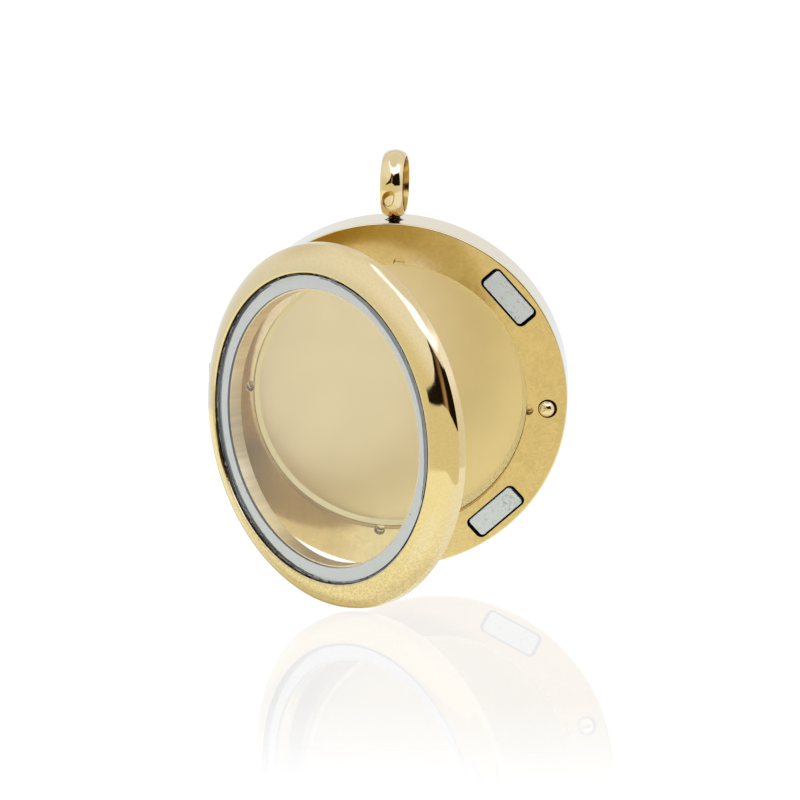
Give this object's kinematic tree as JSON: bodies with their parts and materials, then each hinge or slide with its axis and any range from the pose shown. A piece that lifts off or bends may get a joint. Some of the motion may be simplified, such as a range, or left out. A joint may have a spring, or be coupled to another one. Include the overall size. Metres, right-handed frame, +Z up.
{
  "type": "photo locket",
  "caption": "Round hinged locket with a deep back case, soldered hanging ring, recessed back plate, rim magnets and a glass-windowed lid shown open.",
  "frame": {"origin": "top of the hole in the hanging ring, at the middle of its width, where the chain carries the locket", "axes": "+Z up as it hangs, -Y out of the case's open face toward the viewer, +X to the viewer's right, away from the hinge"},
  "size_m": [0.0305, 0.0256, 0.0359],
  "materials": {
    "gold_case": "polished gold plating on steel",
    "gold_lid": "polished gold plating on steel",
    "satin_plate": "satin gold plating",
    "silver_ring": "matt silver",
    "magnet": "dull nickel with small spots",
    "glass": "clear polished"
  },
  "bodies": {
    "case": {"back_case": "gold_case", "back_plate": "satin_plate", "locating_ball": "gold_case", "magnet_upper": "magnet", "magnet_lower": "magnet", "hinge_pin": "gold_case"},
    "lid": {"lid_bezel": "gold_lid", "glass_ring": "silver_ring", "window_glass": "glass"}
  },
  "joints": [
    {"name": "lid_hinge", "type": "hinge", "parent": "case", "child": "lid", "pos_m": [-0.01438, -0.0019, -0.02033], "axis": [0, 0, -1], "range_deg": [-40.5, 79.5]}
  ]
}
